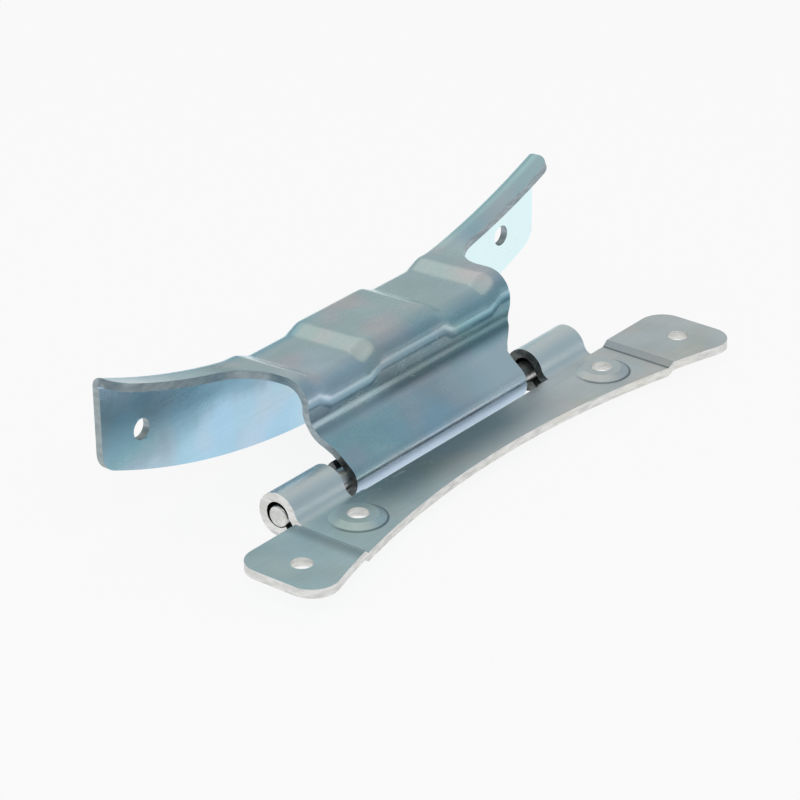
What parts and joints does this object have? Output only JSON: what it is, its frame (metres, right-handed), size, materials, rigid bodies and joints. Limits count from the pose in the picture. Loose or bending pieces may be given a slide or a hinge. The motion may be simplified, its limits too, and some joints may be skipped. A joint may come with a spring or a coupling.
{
  "type": "washing machine door hinge",
  "caption": "Pressed steel door hinge: a hollow-edged mounting plate with rolled knuckles, a pin, and a swinging arm with a lipped crescent that carries a round door.",
  "frame": {"origin": "on the mounting face, halfway between the two end screws", "axes": "+X along the hinge pin, -Y towards the door opening, +Z out of the mounting face"},
  "size_m": [0.181, 0.0725, 0.0451],
  "materials": {
    "plate_steel": "dull zinc plating",
    "pin_steel": "drawn steel",
    "arm_steel": "blue-passivated zinc plating"
  },
  "bodies": {
    "plate": {"mounting_plate": "plate_steel", "hinge_pin": "pin_steel"},
    "arm": {"door_arm": "arm_steel"}
  },
  "joints": [
    {"name": "door_swing", "type": "hinge", "parent": "plate", "child": "arm", "pos_m": [0, 0.022, -0.0016], "axis": [1, 0, 0], "range_deg": [-45, 90]}
  ]
}
